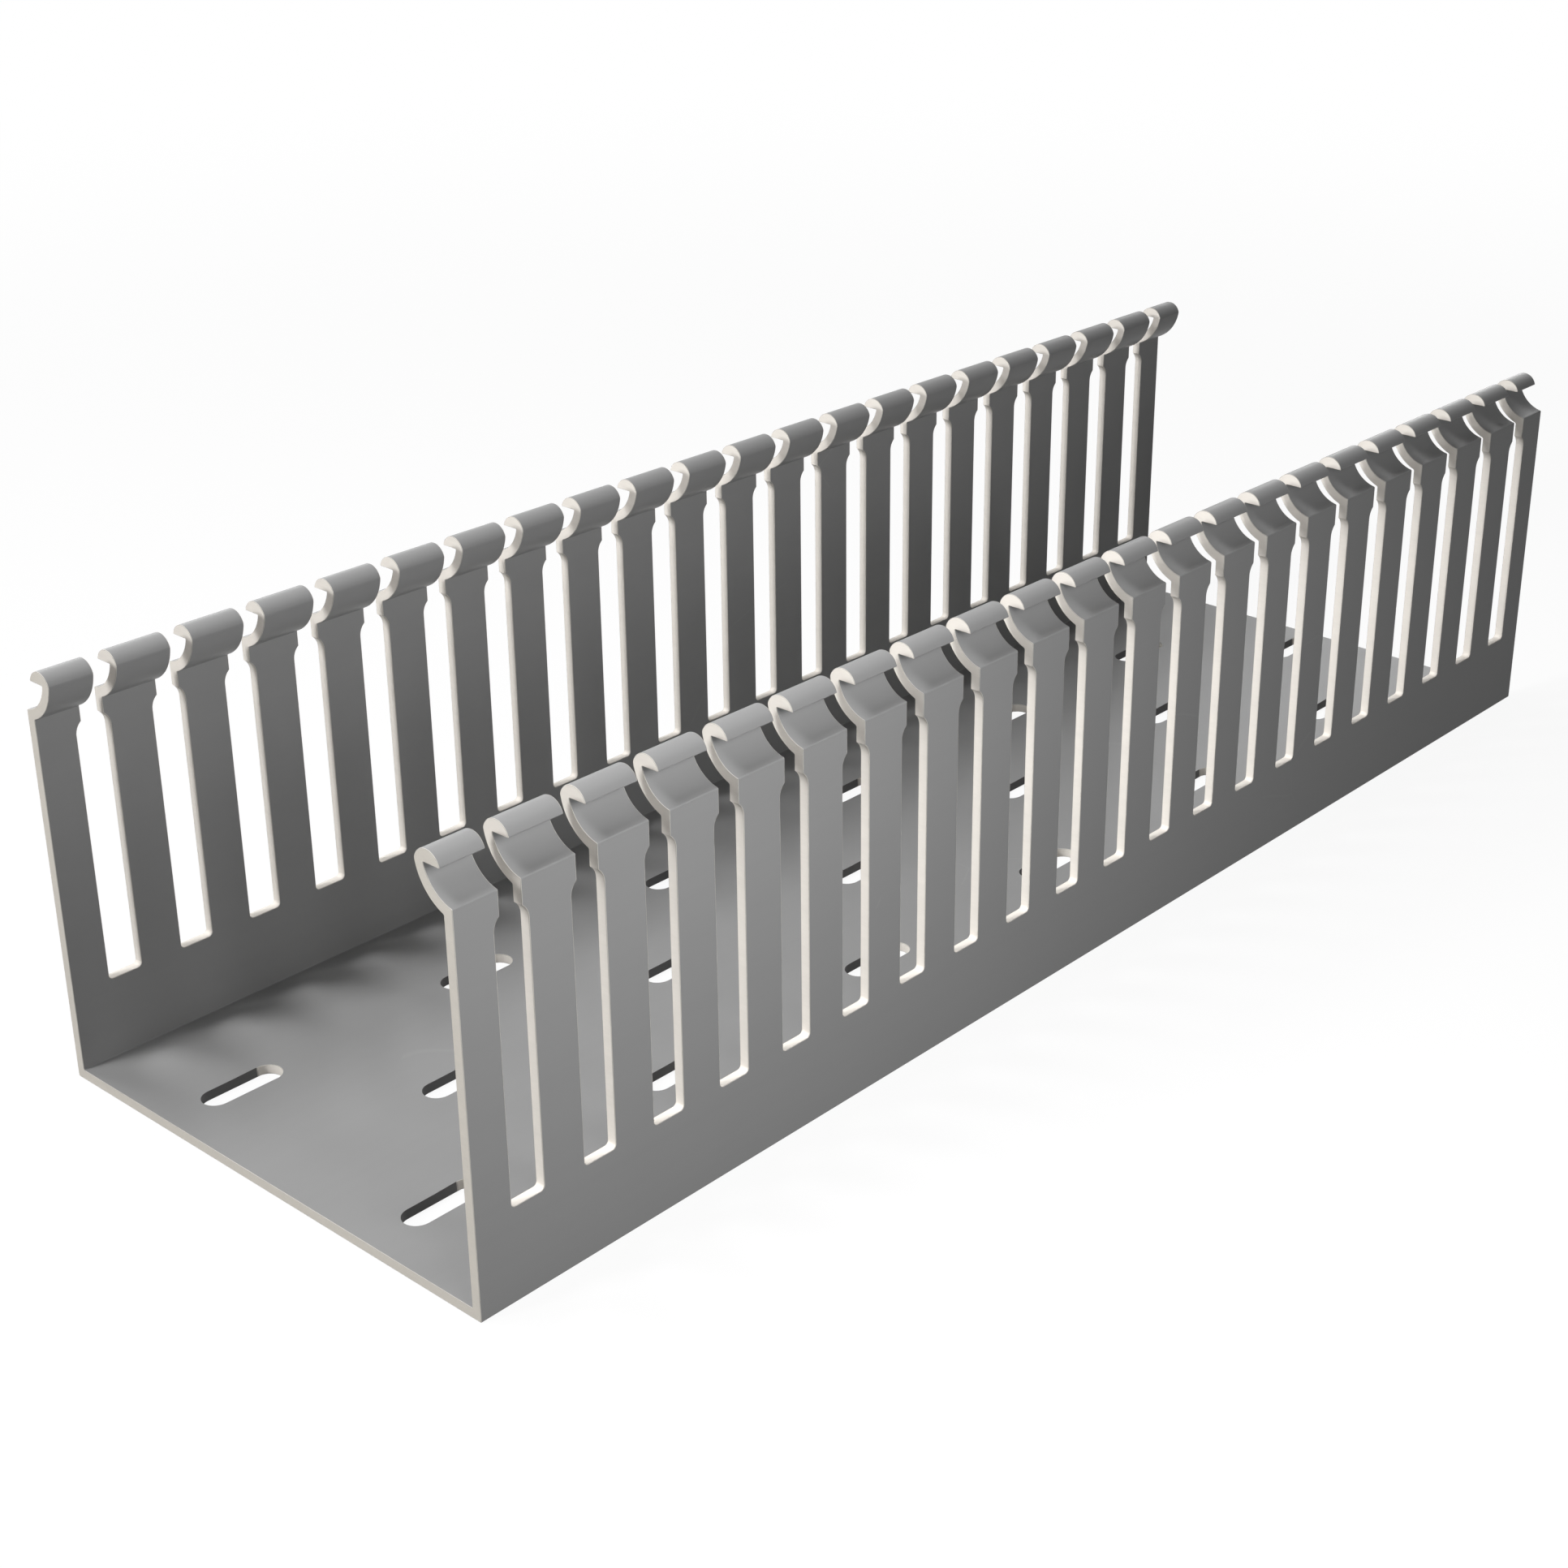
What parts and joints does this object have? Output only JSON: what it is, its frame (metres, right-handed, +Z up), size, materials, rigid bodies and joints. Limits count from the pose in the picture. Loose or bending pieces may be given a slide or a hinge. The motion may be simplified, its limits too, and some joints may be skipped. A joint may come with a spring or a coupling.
{
  "type": "slotted wire duct",
  "caption": "Straight U-shaped channel with open-top slotted side walls, curled snap rails along the wall tops and oblong mounting slots in its base.",
  "frame": {"origin": "underside of the base, at the middle of its length and width", "axes": "+X along the duct, +Z up out of the open top"},
  "size_m": [0.3048, 0.1016, 0.0743],
  "materials": {
    "duct_pvc": "semi-matt grey PVC skin, paler where it is punched and cut"
  },
  "bodies": {
    "root": {"duct_channel": "duct_pvc"}
  },
  "joints": []
}
